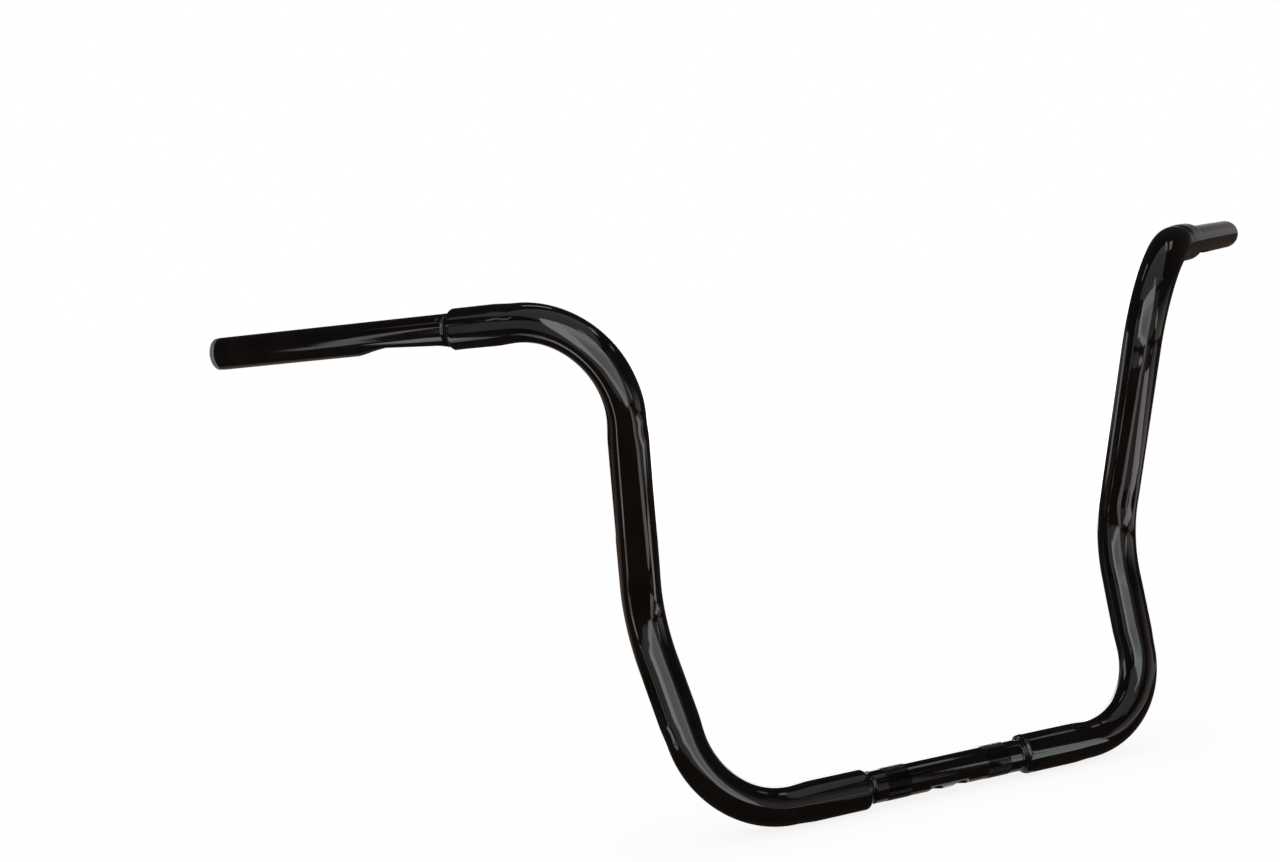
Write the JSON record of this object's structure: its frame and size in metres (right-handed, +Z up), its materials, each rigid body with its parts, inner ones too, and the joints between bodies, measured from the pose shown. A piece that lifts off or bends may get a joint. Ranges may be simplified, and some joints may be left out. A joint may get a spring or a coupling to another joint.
{
  "type": "motorcycle handlebar",
  "caption": "Tall welded tubular handlebar with kinked uprights, swept-back grips, a knurled clamp section, wire holes and end plugs.",
  "frame": {"origin": "middle of the clamp tube, on its axis", "axes": "+X along the clamp tube to the rider's left, +Y to the rear, +Z up with the grips level"},
  "size_m": [0.983, 0.2493, 0.4198],
  "materials": {
    "black_coat": "gloss black coat over steel tube",
    "plug": "satin dark grey moulded plastic"
  },
  "bodies": {
    "root": {"clamp_tube": "black_coat", "left_riser": "black_coat", "right_riser": "black_coat", "left_grip_tube": "black_coat", "right_grip_tube": "black_coat", "left_clamp_weld": "black_coat", "right_clamp_weld": "black_coat", "left_grip_weld": "black_coat", "right_grip_weld": "black_coat", "left_end_plug": "plug", "right_end_plug": "plug"}
  },
  "joints": []
}
